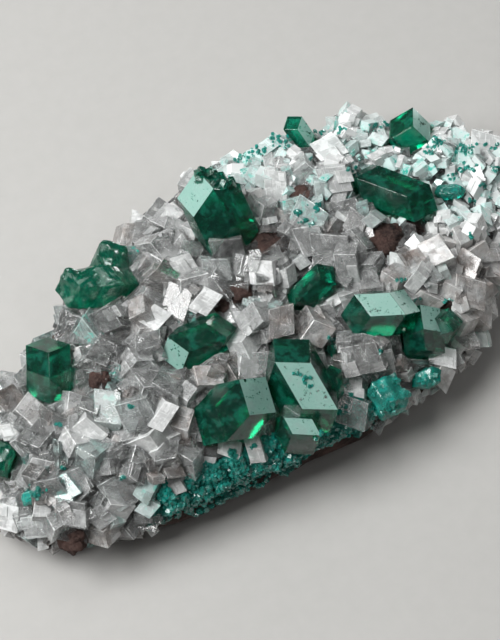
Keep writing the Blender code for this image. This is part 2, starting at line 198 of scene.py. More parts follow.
# Patterns by name: the size of their features in millimetres, layers of detail, and roughness.
CALCITE_PATTERNS = {"clouds": (2.0, 6.0, 0.65), "nicks": (0.5, 4.0, 0.6), "blotches": (1.5, 4.0, 0.6),
                    "dust": (1.4, 6.0, 0.75), "dull spots": (0.6, 5.0, 0.6), "grooves": (0.4, 5.0, 0.7)}
# Cleavage blocks: their size in millimetres, how white the white ones are, and how far faces turn.
CLEAVAGE_BLOCKS = ((1.3, 0.20, 0.06), (0.45, 0.10, 0.035))
# Cleavage streaks: how often they change in a millimetre along each of the rhomb's three edges.
CLEAVAGE_STREAKS = ((9.0, 0.8, 1.1), (0.9, 5.0, 12.0))


def calcite(name, rounds_edges):
    """Calcite grown in open space: glassy rhombs, clear inside, with milky veils and cleavage cracks.

    Attribute growth holds a crystal's milkiness, brown stain and teal dusting, own is the place along
    its three edges in millimetres, and edge is 1 on the narrow faces along its edges. A solid without
    them gets its worn edges from the Bevel node. Box-shaped cells along the edges stand for cleavage
    blocks: some are white with cracks, and each turns its faces a little. Fine streaks follow the
    cleavage. A milky crystal has more of both.
    """
    made, tree, drawn = new_material(name, CALCITE_PATTERNS)
    growth = add(tree, "Attribute", out="Vector", attribute_name="growth")
    milk, stain, teal = add(tree, "SeparateXYZ", (growth,)).node.outputs
    if rounds_edges:
        rounded = add(tree, "Bevel", {"Radius": WORN_EDGE * MM}, samples=6)
        flat = add(tree, "NewGeometry", out="True Normal")
        alike = add(tree, "VectorMath", (rounded, flat), out="Value", operation="DOT_PRODUCT")
        edge = add(tree, "MapRange", (alike, 0.99, 0.86))
        place = add(tree, "TexCoord", out="Object")
        own = add(tree, "VectorMath", {0: place, "Scale": 1 / MM}, operation="SCALE")
    else:
        rounded = add(tree, "NewGeometry", out="Normal")
        edge = add(tree, "Attribute", out="Fac", attribute_name="edge")
        own = add(tree, "Attribute", out="Vector", attribute_name="own")
    wander = add(tree, "TexNoise", {"Vector": own, "Scale": 1.2, "Detail": 2.0}, out=1)
    own = add(tree, "Mix", {0: 0.12, 4: own, 5: wander}, out=1, data_type="VECTOR")
    flaws = add(tree, "MapRange", (drawn["clouds"], 0.48, 0.70, 0.0, 0.30))
    turned = rounded
    for size, share, tilt in CLEAVAGE_BLOCKS:
        cell = add(tree, "TexVoronoi", {"Vector": own, "Scale": 1.0 / size}, "Color", distance="CHEBYCHEV")
        chance = add(tree, "SeparateColor", (cell,))
        white = add(tree, "MapRange", (chance, 0.74, 0.80, 0.0, share))
        flaws = add(tree, "Math", (flaws, white), operation="ADD")
        sway = add(tree, "VectorMath", (cell, (0.5, 0.5, 0.5)), operation="SUBTRACT")
        turned = add(tree, "VectorMath", (sway, (tilt, tilt, tilt), turned), operation="MULTIPLY_ADD")
    normal = add(tree, "VectorMath", (turned,), operation="NORMALIZE")
    for stretch in CLEAVAGE_STREAKS:
        along = add(tree, "VectorMath", (own, stretch), operation="MULTIPLY")
        streak = add(tree, "TexNoise", {"Vector": along, "Scale": 1.0, "Detail": 5.0})
        white = add(tree, "MapRange", (streak, 0.58, 0.70, 0.0, 0.28))
        flaws = add(tree, "Math", (flaws, white), operation="ADD")
    more = add(tree, "MapRange", (milk, 0.0, 0.6, 0.35, 1.3))
    flaws = add(tree, "Math", (flaws, more), operation="MULTIPLY")
    cloud = add(tree, "Math", (milk, flaws), operation="ADD")
    chips = add(tree, "MapRange", (drawn["nicks"], 0.4, 0.6, 0.05, 0.6))
    chipped = add(tree, "Math", (edge, chips), operation="MULTIPLY")
    cloud = add(tree, "Math", (cloud, chipped), operation="ADD", use_clamp=True)

    blotch = add(tree, "MapRange", (drawn["blotches"], 0.35, 0.65))
    brown = add(tree, "Math", (stain, blotch), operation="MULTIPLY")
    grains = add(tree, "MapRange", (drawn["dust"], 0.52, 0.60))
    dust = add(tree, "Math", (teal, grains), operation="MULTIPLY")
    tinted = add(tree, "Math", (teal, 0.6), operation="MULTIPLY")
    colour = linear("#F2F4F3")
    for share, over in ((brown, "#A58C7F"), (tinted, "#B9E6E1"), (dust, "#14A896")):
        colour = add(tree, "Mix", {0: share, 6: colour, 7: linear(over)}, out=2, data_type="RGBA")
    veiled = add(tree, "Math", (cloud, 0.76), operation="MULTIPLY")
    hidden = add(tree, "Math", (dust, 0.7), operation="MULTIPLY")
    see = add(tree, "Math", (0.96, veiled), operation="SUBTRACT")
    see = add(tree, "Math", (see, hidden), operation="SUBTRACT", use_clamp=True)
    rough = add(tree, "MapRange", (drawn["dull spots"], 0.4, 0.7, 0.02, 0.14))
    bump = add(tree, "Bump", {"Strength": 0.4, "Distance": 0.04 * MM, "Height": drawn["grooves"],
                              "Normal": normal})
    shader = add(tree, "BsdfPrincipled", {"Base Color": colour, "Transmission Weight": see, "IOR": 1.6,
                                          "Roughness": rough, "Normal": bump})
    add(tree, "OutputMaterial", {"Surface": shader})
    return made


DIOPTASE_PATTERNS = {"veils": (1.8, 6.0, 0.7), "wisps": (0.7, 8.0, 0.75), "pits": (0.9, 6.0, 0.75),
                     "satin spots": (0.7, 5.0, 0.6), "ripples": (0.6, 5.0, 0.65)}


def dioptase(name, clear, cloudy, least, veiled, roughness):
    """Dioptase, grown: glassy emerald crystal that swallows light, with veils, and pale faces that are
    partly etched frosting and partly a painted reflection of the lamps they mirror.

    clear and cloudy are its colours where it is clear and in a veil, and least and veiled how milky
    it is there.
    """
    made, tree, drawn = new_material(name, DIOPTASE_PATTERNS)
    veil = add(tree, "MapRange", (drawn["veils"], 0.50, 0.66))
    wisp = add(tree, "MapRange", (drawn["wisps"], 0.62, 0.66))
    # The marked faces get a pale, less see-through skin: partly etched frosting, partly painted reflection
    # of the lamps that they mirror.
    etched_painted_reflection = add(tree, "Attribute", out="Fac", attribute_name="etched_painted_reflection")
    unpitted = add(tree, "MapRange", (drawn["pits"], 0.38, 0.42, 0.0, 0.85))
    pale_painted_reflection = add(tree, "Math", (etched_painted_reflection, unpitted), operation="MULTIPLY")
    colour = linear(clear)
    # 8CA8A1 on the marked faces is that pale skin: painted reflection over etched frosting.
    for share, over in ((veil, cloudy), (wisp, "#2FB592"), (pale_painted_reflection, "#8CA8A1")):
        colour = add(tree, "Mix", {0: share, 6: colour, 7: linear(over)}, out=2, data_type="RGBA")
    milk = add(tree, "MapRange", (drawn["veils"], 0.50, 0.66, least, veiled))
    threads = add(tree, "MapRange", (drawn["wisps"], 0.62, 0.66, 0.0, 0.15))
    see = 0.97
    for hidden in (milk, threads, pale_painted_reflection):
        see = add(tree, "Math", (see, hidden), operation="SUBTRACT", use_clamp=True)
    rough = add(tree, "MapRange", (drawn["satin spots"], 0.4, 0.75, roughness, roughness + 0.12))
    frosted = add(tree, "Math", (pale_painted_reflection, 0.3), operation="MULTIPLY")
    rough = add(tree, "Math", (rough, frosted), operation="ADD")
    bump = add(tree, "Bump", {"Strength": 0.3, "Distance": 0.05 * MM, "Height": drawn["ripples"]})
    shader = add(tree, "BsdfPrincipled", {"Base Color": colour, "Transmission Weight": see, "IOR": 1.67,
                                          "Specular IOR Level": 0.22, "Roughness": rough, "Normal": bump})
    inside = add(tree, "VolumeAbsorption", {"Color": (0.0, 0.90, 0.86, 1.0), "Density": 1300.0})
    add(tree, "OutputMaterial", {"Surface": shader, "Volume": inside})
    return made


def rock():
    """Ferruginous rock, broken: brown and dull red grains, matt, with pale specks and a fine tooth."""
    made, tree, drawn = new_material("matrix_ferruginous_rock_broken", {
        "patches": (3.0, 5.0, 0.6), "grains": (0.35, 6.0, 0.7), "tooth": (0.12, 3.0, 0.6)})
    patch = add(tree, "MapRange", (drawn["patches"], 0.35, 0.65))
    pale = add(tree, "MapRange", (drawn["grains"], 0.45, 0.70, 0.0, 0.6))
    dark = add(tree, "MapRange", (drawn["grains"], 0.30, 0.42, 0.7, 0.0))
    colour = linear("#1B1413")
    for share, over in ((patch, "#4A3732"), (pale, "#5C4C46"), (dark, "#241A1A")):
        colour = add(tree, "Mix", {0: share, 6: colour, 7: linear(over)}, out=2, data_type="RGBA")
    height = add(tree, "Math", (drawn["grains"], drawn["tooth"]), operation="ADD")
    bump = add(tree, "Bump", {"Strength": 0.8, "Distance": 0.12 * MM, "Height": height})
    shader = add(tree, "BsdfPrincipled", {"Base Color": colour, "Roughness": 0.9,
                                          "Specular IOR Level": 0.25, "Normal": bump})
    add(tree, "OutputMaterial", {"Surface": shader})
    return made


def card():
    """Matt card under the specimen: pale, even, with a faint tooth."""
    made, tree, drawn = new_material("studio_card_matt", {"tooth": (2.0, 3.0, 0.6)})
    shades = {0: drawn["tooth"], 6: linear("#ADACA9"), 7: linear("#B4B3B0")}
    colour = add(tree, "Mix", shades, out=2, data_type="RGBA")
    shader = add(tree, "BsdfPrincipled", {"Base Color": colour, "Roughness": 0.95})
    add(tree, "OutputMaterial", {"Surface": shader})
    return made


# Shapes

def mesh_piece(name, points, faces, material, face_marks=None, point_marks=None):
    """One object from points in millimetres and rows of point numbers.

    The marks are attributes by name, with a value or a vector for each face or each point.
    """
    mesh = bpy.data.meshes.new(name)
    mesh.from_pydata((np.asarray(points, float) * MM).tolist(), [], faces)
    for domain, marks in (("FACE", face_marks), ("POINT", point_marks)):
        for mark, values in (marks or {}).items():
            kind, field = ("FLOAT", "value") if np.ndim(values) == 1 else ("FLOAT_VECTOR", "vector")
            layer = mesh.attributes.new(mark, kind, domain)
            layer.data.foreach_set(field, np.asarray(values, np.float32).ravel())
    mesh.materials.append(material)
    made = bpy.data.objects.new(name, mesh)
    bpy.context.scene.collection.objects.link(made)
    return made


def belongs(piece, slot, *nodes):
    """The piece rides with the specimen and stands for those nodes; slot is not used."""
    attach(piece, "root")
    if nodes:
        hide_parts(*nodes)


def lattice_value(cell, seed):
    """A repeatable random value from -1 to 1 for each lattice point, mixed by large odd numbers."""
    mixed_up = (cell[:, 0] * 73856093) ^ (cell[:, 1] * 19349663) ^ (cell[:, 2] * 83492791)
    mixed_up = (mixed_up ^ (seed * 668265263)) * 1274126177
    mixed_up = mixed_up ^ (mixed_up >> 15)
    return (mixed_up & 0xFFFF) / 32767.5 - 1.0


def lattice_noise(points, size, seed):
    """Smooth noise from -1 to 1: lattice values blended by a smooth step along each axis."""
    place = points / size
    cell = np.floor(place).astype(np.int64)
    share = place - cell
    share = share * share * (3 - 2 * share)
    total = np.zeros(len(points))
    for offset in product((0, 1), repeat=3):
        weight = np.prod(np.where(offset, share, 1 - share), axis=1)
        total += weight * lattice_value(cell + np.array(offset), seed)
    return total


def layered_noise(points, size, seed, layers=4):
    """Sum of noises, each half as large and half as strong as the one before."""
    return sum(lattice_noise(points, size / 2 ** n, seed + n) / 2 ** n for n in range(layers))


def unit(rows):
    """Each row divided by its length."""
    return rows / np.linalg.norm(rows, axis=-1, keepdims=True)


# How far the way out of the domed plate leans for each millimetre along X and Y, beside how far it
# goes up.
LEAN_X, LEAN_Y, GOES_UP = 0.012, 0.045, 0.9


def outward(points):
    """Roughly straight out of the domed plate: the gradient of a flat ellipsoid."""
    up = np.full(len(points), GOES_UP)
    return unit(np.column_stack((points[:, 0] * LEAN_X, points[:, 1] * LEAN_Y, up)))


def leaning_frames(direction, spread, rng):
    """One 3x3 frame a row, whose third column leans at random from that direction."""
    third = unit(direction + rng.normal(size=direction.shape) * spread)
    first = unit(np.cross(third, rng.normal(size=direction.shape)))
    second = np.cross(third, first)
    return np.stack((first, second, third), axis=2)


def rhomb_edges():
    """Columns are the three edge directions of a calcite rhomb about its own axis."""
    turn = np.radians([0.0, 120.0, 240.0])
    lean = CALCITE_EDGE_LEAN
    return np.array([np.sin(lean) * np.cos(turn), np.sin(lean) * np.sin(turn), np.full(3, math.cos(lean))])


def facing_frame(tilt, turn):
    """Edge directions of a rhomb that turns one face to the viewer.

    The face's normal leans by tilt (right, up) from the view, and its first edge points turn degrees
    anticlockwise from right in the picture.
    """
    edges = rhomb_edges()
    own_normal = unit(np.cross(edges[:, 0], edges[:, 1]))
    own = np.column_stack((edges[:, 0], np.cross(own_normal, edges[:, 0]), own_normal))
    normal = unit(np.array([tilt[0], tilt[1], 1.0]) @ VIEW)
    along = np.array([math.cos(math.radians(turn)), math.sin(math.radians(turn)), 0.0]) @ VIEW
    along = unit(along - normal * (along @ normal))
    there = np.column_stack((along, np.cross(normal, along), normal))
    return there @ own.T @ edges


def chamfered_cube(cut):
    """Points and faces of a cube from -1 to 1 with all edges and corners cut flat.

    Each corner gives three points, each of them pulled in along the two axes that aren't its own.
    """
    corners = np.array(list(product((-1.0, 1.0), repeat=3)))
    points = (corners[:, None, :] * np.where(np.eye(3, dtype=bool), 1.0, 1.0 - cut)).reshape(24, 3)
    step = (4, 2, 1)
    faces = []
    for axis in range(3):
        i, j = (axis + 1) % 3, (axis + 2) % 3
        for side in (0, 1):
            first = side * step[axis]
            ring = (first, first + step[i], first + step[i] + step[j], first + step[j])
            faces.append([3 * corner + axis for corner in ring])
        for a, b in product((0, 1), repeat=2):
            low = a * step[i] + b * step[j]
            high = low + step[axis]
            faces.append([3 * low + i, 3 * high + i, 3 * high + j, 3 * low + j])
    faces += [[3 * corner, 3 * corner + 1, 3 * corner + 2] for corner in range(8)]
    for face in faces:
        a, b, c = points[face[:3]]
        if np.cross(b - a, c - a) @ points[face].mean(axis=0) < 0:
            face.reverse()
    return points, faces


# Each crystal's own coordinates start this far from those of the one before it, so that no two have
# the same flaws.
OWN_SHIFT = 7.3


def rhombs(name, centres, frames, edges, growth, cut, material):
    """Calcite rhombs in one piece: a chamfered cube, scaled, sheared and placed for each crystal."""
    cube, cube_faces = chamfered_cube(cut)
    scaled = cube[None] * edges[:, None, :] / 2
    points = centres[:, None, :] + np.einsum("nij,npj->npi", frames, scaled)
    faces = [[24 * n + corner for corner in face] for n in range(len(centres)) for face in cube_faces]
    on_edge = np.array([0.0 if max(abs(cube[face].mean(axis=0))) > 0.999 else 1.0 for face in cube_faces])
    face_marks = {"edge": np.tile(on_edge, len(centres)),
                  "growth": np.repeat(growth, len(cube_faces), axis=0)}
    own = scaled + OWN_SHIFT * np.arange(len(centres))[:, None, None]
    return mesh_piece(name, points.reshape(-1, 3), faces, material, face_marks, {"own": own.reshape(-1, 3)})


def with_steps(centres, frames, edges, growth, count, rng):
    """Adds that many smaller rhombs to each, in nearly parallel growth at its corners and edges."""
    host = np.repeat(np.arange(len(centres)), count)
    side = rng.choice((-1.0, 1.0), (len(host), 3)) * rng.uniform(0.25, 1.0, (len(host), 3))
    size = edges[host] * rng.uniform(0.3, 0.7, (len(host), 1)) * rng.uniform(0.8, 1.2, (len(host), 3))
    reach = side * (edges[host] / 2 - size * 0.18)
    places = centres[host] + np.einsum("nij,nj->ni", frames[host], reach)
    turned = frames[host] + rng.normal(size=frames[host].shape) * 0.03
    milk = np.clip(growth[host] + rng.normal(size=(len(host), 3)) * (0.12, 0, 0), 0, 1)
    return (np.concatenate((centres, places)), np.concatenate((frames, turned)),
            np.concatenate((edges, size)), np.concatenate((growth, milk)))


def prisms(name, centres, frames, across, length, material):
    """Small dioptase crystals in one piece.

    A hexagonal prism's edges stand at every 60 degrees. The top's three faces lean over the even
    edges and the bottom's over the odd ones, so each edge ends one or half a lean below the tip.
    """
    turn = np.radians(60.0 * np.arange(6))
    radius = across / 2 / math.cos(math.radians(30.0))
    slope = math.tan(RHOMBOHEDRON_LEAN)
    even = np.where(np.arange(6) % 2 == 0, 1.0, 0.5)
    half = np.maximum(length / 2, radius * slope * 1.05)[:, None]
    ring = np.stack((radius[:, None] * np.cos(turn), radius[:, None] * np.sin(turn)), axis=2)
    top = half - even * radius[:, None] * slope
    bottom = (1.5 - even) * radius[:, None] * slope - half
    tips = np.zeros((len(centres), 2, 3))
    tips[:, 0, 2], tips[:, 1, 2] = half[:, 0], -half[:, 0]
    own = np.concatenate((np.dstack((ring, top)), np.dstack((ring, bottom)), tips), axis=1)
    points = centres[:, None, :] + np.einsum("nij,npj->npi", frames, own)
    one = [[k, 6 + k, 6 + (k + 1) % 6, (k + 1) % 6] for k in range(6)]
    one += [[12, (k - 1) % 6, k, (k + 1) % 6] for k in (0, 2, 4)]
    one += [[13, 6 + (k + 1) % 6, 6 + k, 6 + (k - 1) % 6] for k in (1, 3, 5)]
    faces = [[14 * n + corner for corner in face] for n in range(len(centres)) for face in one]
    return mesh_piece(name, points.reshape(-1, 3), faces, material)


def triangles(name):
    """The triangles of a CAD node or a finished piece in millimetres, as rows of three corners."""
    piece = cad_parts[name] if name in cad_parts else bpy.data.objects[name]
    mesh = piece.data
    mesh.calc_loop_triangles()
    corners = np.empty(len(mesh.loop_triangles) * 3, np.int32)
    mesh.loop_triangles.foreach_get("vertices", corners)
    places = np.empty(len(mesh.vertices) * 3, np.float32)
    mesh.vertices.foreach_get("co", places)
    return places.reshape(-1, 3)[corners].reshape(-1, 3, 3).astype(float) / MM


def tree_of(*names):
    """A search tree of CAD nodes or finished pieces, in millimetres."""
    corners = np.concatenate([triangles(name) for name in names]).reshape(-1, 3)
    faces = np.arange(len(corners)).reshape(-1, 3)
    return BVHTree.FromPolygons(corners.tolist(), faces.tolist())


def scattered(node, count, rng, least_up=0.05):
    """Random points of a CAD node, spread by area, where it faces outward by that cosine or more."""
    corners = triangles(node)
    normals = np.cross(corners[:, 1] - corners[:, 0], corners[:, 2] - corners[:, 0])
    area = np.linalg.norm(normals, axis=1) / 2
    facing = (unit(normals + 1e-12) * outward(corners.mean(axis=1))).sum(axis=1)
    weight = np.where(facing > least_up, area, 0.0)
    chosen = rng.choice(len(corners), count, p=weight / weight.sum())
    a, b = np.sort(rng.random((2, count)), axis=0)
    shares = np.column_stack((a, b - a, 1 - b))
    return np.einsum("nk,nki->ni", shares, corners[chosen])


# Small crystals past a growth's edge start this many millimetres from it, in patches of this size.
RIM_START = 0.45
RIM_PATCH = 4.0


def beside(tree, reach, count, rng):
    """Random points of the rock from the edge of a growth to that many millimetres past it, in patches."""
    points = scattered("matrix_rock", count, rng, -1.0)
    even = np.ones(len(points))
    near = far_from(tree, points, even * RIM_START) & ~far_from(tree, points, even * reach)
    return points[near & (layered_noise(points, RIM_PATCH, 5, 2) > -0.5)]


# A small crystal may stand out of the solids' box by this share of its sides.
SPARE = 0.013


def in_reach(points, radius):
    """True for each ball that stays close to the solids' own box."""
    low, high = np.array(cad_box) / MM
    spare = SPARE * (high - low)
    room = np.asarray(radius)[:, None]
    return ((points - room > low - spare) & (points + room < high + spare)).all(axis=1)


def thinned(points, radii, reach):
    """Row numbers of the points that stand clear of those kept before them."""
    kept = []
    for index, point in enumerate(points):
        gaps = np.linalg.norm(points[kept] - point, axis=1) if kept else np.array([np.inf])
        if (gaps > reach * (radii[kept] + radii[index])).all():
            kept.append(index)
    return np.array(kept)


def far_from(tree, points, distance):
    """True for each point with nothing of the tree within its distance."""
    return np.array([tree.find_nearest(point)[3] > d for point, d in zip(points.tolist(), distance)])


def in_picture(points):
    """Places right of and above the aim as the viewer sees them, in millimetres."""
    return (points - np.array(AIM)) @ VIEW[:2].T


def covers(tree, points, reach):
    """True for each ball of that reach that stands before something of the tree, as seen by the viewer."""
    covering = np.zeros(len(points), bool)
    for right, up in ((0, 0), (1, 0), (-1, 0), (0, 1), (0, -1)):
        tested = points + (right * VIEW[0] + up * VIEW[1]) * reach[:, None]
        covering |= [tree.ray_cast(Vector(point), -BACK)[0] is not None for point in tested]
    return covering


def ray_through(pixel):
    """Direction from the camera through a pixel of the photograph."""
    x = (pixel[0] - PHOTO_SIZE[0] / 2) * MM_PER_PIXEL
    y = (PHOTO_SIZE[1] / 2 - pixel[1]) * MM_PER_PIXEL
    return (AIM + RIGHT * x + UP * y - EYE).normalized()


def seen_on(tree, pixel):
    """The point of a tree's surface that the photograph shows at a pixel."""
    place = tree.ray_cast(EYE, ray_through(pixel))[0]
    if place is None:
        place = tree.find_nearest(seen_level(pixel))[0]
    return np.array(place)


def seen_level(pixel):
    """The point at the aim's height that the photograph shows at a pixel."""
    ray = ray_through(pixel)
    return EYE + ray * ((AIM.z - EYE.z) / ray.z)


DIOPTASE_NODES = sorted(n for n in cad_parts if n.startswith("dioptase_") and n != "dioptase_druse")
GROUND = tree_of("calcite_crust", "dioptase_druse", "matrix_rock")
GEMS = tree_of(*DIOPTASE_NODES)
DRUSE = tree_of("dioptase_druse")
CRUST = tree_of("calcite_crust")


def merged(node):
    """A copy of a CAD node's mesh whose loose triangles share their corners."""
    bm = bmesh.new()
    bm.from_mesh(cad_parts[node].data)
    bmesh.ops.remove_doubles(bm, verts=bm.verts[:], dist=MERGED_WITHIN * MM)
    return bm


def refined(node, longest, smoothing=0, passes=7):
    """A merged copy of a CAD node's mesh, its edges halved until they are at most that many millimetres."""
    bm = merged(node)
    for _ in range(passes):
        long_edges = [edge for edge in bm.edges if edge.calc_length() > longest * MM]
        bmesh.ops.subdivide_edges(bm, edges=long_edges, cuts=1, use_grid_fill=True, use_single_edge=True)
        bmesh.ops.triangulate(bm, faces=[face for face in bm.faces if len(face.verts) > 3])
    for _ in range(smoothing):
        bmesh.ops.smooth_vert(bm, verts=bm.verts[:], factor=0.5, use_axis_x=True, use_axis_y=True,
                              use_axis_z=True)
    return bm


def piece_from(bm, name, material):
    """A finished piece with that shape and that one material."""
    mesh = bpy.data.meshes.new(name)
    bm.to_mesh(mesh)
    bm.free()
    mesh.materials.clear()
    mesh.materials.append(material)
    made = bpy.data.objects.new(name, mesh)
    bpy.context.scene.collection.objects.link(made)
    return made


def push(piece, height):
    """Moves a piece's points along their normals by height(points), all in millimetres."""
    mesh = piece.data
    points, normals = np.empty((2, len(mesh.vertices) * 3), np.float32)
    mesh.vertices.foreach_get("co", points)
    mesh.vertex_normals.foreach_get("vector", normals)
    points = points.reshape(-1, 3).astype(float) / MM
    points += normals.reshape(-1, 3) * height(points)[:, None]
    mesh.vertices.foreach_set("co", (points * MM).astype(np.float32).ravel())
    mesh.update()


# Pieces

# The rock's lumps, in millimetres: how wide and how high, how far in they start, and how high above
# the flat base they are whole.
LUMP_WIDTH, LUMP_HEIGHT, LUMP_SINK, LUMPY_ABOVE = 2.4, 0.22, 0.05, 1.5


def rock_relief(points):
    """Layered noise in and out, fading to none on the flat base."""
    free = np.clip(points[:, 2] / LUMPY_ABOVE, 0.0, 1.0)
    return free * (LUMP_HEIGHT * layered_noise(points, LUMP_WIDTH, 3) - LUMP_SINK)


def matrix(material):
    """The rock, with relief on its broken sides."""
    piece = piece_from(refined("matrix_rock", 0.8), "rock_surface", material)
    push(piece, rock_relief)
    belongs(piece, "matrix", "matrix_rock")


# Calcite rhombs that the photograph shows one by one: middle in pixels, the face's two edges and the
# depth in millimetres, turn in the picture, the face's lean (right, up), and growth as milkiness,
# brown stain and teal dusting.
Shown = namedtuple("Shown", "seen edges turn tilt growth")
SHOWN_RHOMBS = [Shown(*row) for row in (
    ((183, 264), (2.6, 2.4, 2.8), 20, (0.3, 0.3), (0.75, 0, 0)),
    ((177, 286), (2.8, 2.4, 2.6), -15, (0.1, -0.1), (0.7, 0, 0)),
    ((205, 300), (3.2, 2.4, 3.0), 52, (0.0, 0.2), (0.8, 0, 0)),
    ((156, 316), (2.8, 2.5, 3.2), 48, (-0.1, 0.2), (0.75, 0, 0)),
    ((163, 248), (2.6, 2.5, 2.6), 5, (0.1, 0.1), (0.15, 0, 0)),
    ((144, 243), (1.8, 1.8, 2.2), 30, (0.2, 0.1), (0.4, 0.5, 0)),
    ((176, 230), (2.6, 2.0, 2.4), -30, (0.2, 0.3), (0.2, 0, 0)),
    ((172, 214), (2.8, 2.4, 2.4), 35, (-0.2, 0.3), (0.5, 0.1, 0)),
    ((219, 268), (3.2, 2.6, 2.8), 0, (0.0, 0.1), (0.15, 0, 0.1)),
    ((70, 315), (3.0, 2.6, 2.6), 2, (0.0, 0.2), (0.3, 0, 0.1)),
    ((93, 313), (2.2, 2.2, 2.2), 25, (0.1, 0.2), (0.3, 0, 0)),
    ((278, 181), (2.7, 2.9, 2.8), -8, (0.0, 0.1), (0.85, 0, 0)),
    ((303, 172), (3.2, 3.0, 3.0), 38, (0.1, -0.2), (0.25, 0, 0.1)),
    ((335, 178), (3.6, 3.2, 3.0), 8, (0.1, 0.1), (0.5, 0, 0)),
    ((281, 201), (2.0, 1.6, 2.0), 5, (0.0, 0.2), (0.5, 0, 0)),
    ((265, 271), (2.9, 3.0, 3.0), -6, (-0.1, 0.1), (0.85, 0, 0)),
    ((301, 260), (1.7, 1.5, 1.7), 30, (0.2, 0.0), (0.7, 0, 0.1)),
    ((312, 218), (4.2, 3.4, 3.6), -35, (0.1, 0.2), (0.55, 0, 0.6)),
    ((347, 212), (4.4, 3.6, 3.6), 12, (-0.1, 0.1), (0.1, 0, 0)),
    ((383, 223), (2.2, 1.6, 2.0), 5, (0.0, 0.1), (0.55, 0.1, 0)),
    ((334, 249), (4.6, 4.0, 4.0), -4, (0.0, 0.1), (0.12, 0, 0)),
    ((407, 267), (3.8, 3.2, 3.4), -12, (0.1, 0.1), (0.8, 0, 0.1)),
    ((365, 277), (3.6, 2.8, 3.0), 4, (0.0, 0.2), (0.2, 0, 0)),
    ((483, 262), (4.2, 3.6, 4.0), 3, (0.2, 0.2), (0.6, 0.35, 0)),
    ((470, 290), (4.0, 3.4, 3.6), -15, (0.3, 0.0), (0.4, 0.5, 0)),
    ((490, 150), (4.4, 4.4, 3.8), -15, (0.1, 0.1), (0.9, 0, 0)),
    ((372, 122), (2.4, 2.0, 2.4), 20, (0.1, 0.4), (0.6, 0, 0.2)),
    ((392, 113), (1.6, 1.6, 1.8), -20, (0.0, 0.3), (0.75, 0, 0)),
    ((453, 146), (2.4, 2.2, 2.4), 0, (0.1, 0.2), (0.7, 0, 0.4)),
    ((412, 148), (2.6, 2.2, 2.6), 60, (0.0, 0.3), (0.75, 0, 0)),
    ((330, 148), (3.4, 3.0, 2.8), 25, (0.0, 0.3), (0.9, 0, 0.1)),
    ((273, 147), (3.2, 2.8, 2.6), 40, (0.0, 0.4), (0.5, 0, 0.6)),
    ((428, 275), (2.6, 2.2, 2.4), 30, (0.2, 0.2), (0.3, 0, 0.1)),
    ((452, 272), (3.0, 2.6, 2.8), -25, (0.1, 0.2), (0.3, 0.4, 0)),
    ((336, 300), (2.0, 1.3, 1.4), 35, (0.1, 0.4), (0.8, 0, 0)),
    ((329, 322), (1.6, 1.2, 1.2), -45, (0.0, 0.4), (0.85, 0, 0)),
    ((84, 429), (3.6, 3.4, 3.6), 38, (0.1, -0.1), (0.9, 0, 0)),
    ((161, 414), (3.6, 1.8, 2.6), 55, (0.2, 0.1), (0.75, 0, 0)),
    ((139, 411), (3.8, 3.6, 3.4), 15, (0.0, 0.0), (0.15, 0, 0.15)),
    ((145, 366), (2.6, 2.4, 2.6), 25, (-0.1, 0.1), (0.85, 0, 0.05)),
    ((165, 380), (3.2, 2.6, 2.8), -10, (0.0, 0.0), (0.15, 0, 0)),
    ((121, 371), (1.5, 1.5, 1.6), 40, (0.1, 0.1), (0.75, 0, 0)),
    ((24, 408), (3.2, 2.8, 3.0), -25, (0.1, 0.1), (0.25, 0, 0)),
    ((58, 411), (3.4, 2.8, 3.0), 20, (0.0, 0.0), (0.15, 0, 0.15)),
    ((12, 430), (2.2, 2.0, 2.2), 10, (0.0, 0.1), (0.8, 0, 0)),
    ((27, 440), (2.8, 2.4, 2.6), 30, (0.0, -0.1), (0.2, 0, 0.1)),
    ((38, 468), (3.0, 3.0, 3.0), 65, (0.0, 0.0), (0.35, 0, 0)),
    ((75, 478), (3.4, 2.8, 3.0), 22, (0.0, 0.0), (0.2, 0, 0.05)),
    ((132, 457), (3.2, 1.6, 2.4), 12, (0.0, 0.2), (0.35, 0, 0)),
    ((124, 484), (4.4, 4.0, 4.0), 30, (0.1, 0.0), (0.12, 0, 0.1)),
    ((101, 514), (2.4, 2.4, 2.6), 35, (0.0, 0.0), (0.2, 0, 0)),
    ((74, 511), (3.4, 3.0, 3.2), -10, (0.0, 0.0), (0.12, 0, 0)),
    ((10, 516), (2.8, 3.0, 3.0), -15, (0.0, 0.1), (0.85, 0, 0)),
    ((43, 522), (4.0, 2.6, 3.2), 5, (0.0, -0.1), (0.45, 0, 0.05)),
    ((184, 452), (2.4, 2.2, 2.4), 35, (0.0, 0.1), (0.8, 0, 0)),
    ((168, 481), (3.4, 3.0, 3.0), 20, (0.0, 0.0), (0.75, 0.25, 0)),
    ((147, 505), (2.0, 2.0, 2.2), 50, (0.0, 0.0), (0.6, 0, 0.5)),
    ((195, 427), (2.8, 2.0, 2.4), 75, (0.0, 0.0), (0.3, 0, 0)),
    ((187, 403), (2.4, 2.0, 2.2), -60, (0.1, 0.1), (0.25, 0, 0)),
    ((365, 355), (4.2, 3.6, 3.6), 10, (0.0, 0.0), (0.1, 0.1, 0)),
    ((355, 410), (3.8, 3.4, 3.4), -20, (0.0, 0.0), (0.15, 0, 0.1)),
    ((444, 355), (3.4, 2.4, 2.6), -12, (0.1, 0.1), (0.85, 0, 0)),
    ((470, 361), (1.8, 1.6, 1.8), 20, (0.0, 0.0), (0.4, 0, 0)),
    ((462, 335), (3.4, 3.0, 3.4), 8, (0.2, 0.0), (0.45, 0.35, 0)),
    ((256, 448), (1.8, 3.2, 2.0), 5, (0.0, 0.1), (0.7, 0.3, 0)),
    ((232, 447), (2.8, 2.2, 2.2), -20, (0.0, 0.1), (0.6, 0.3, 0)),
)]
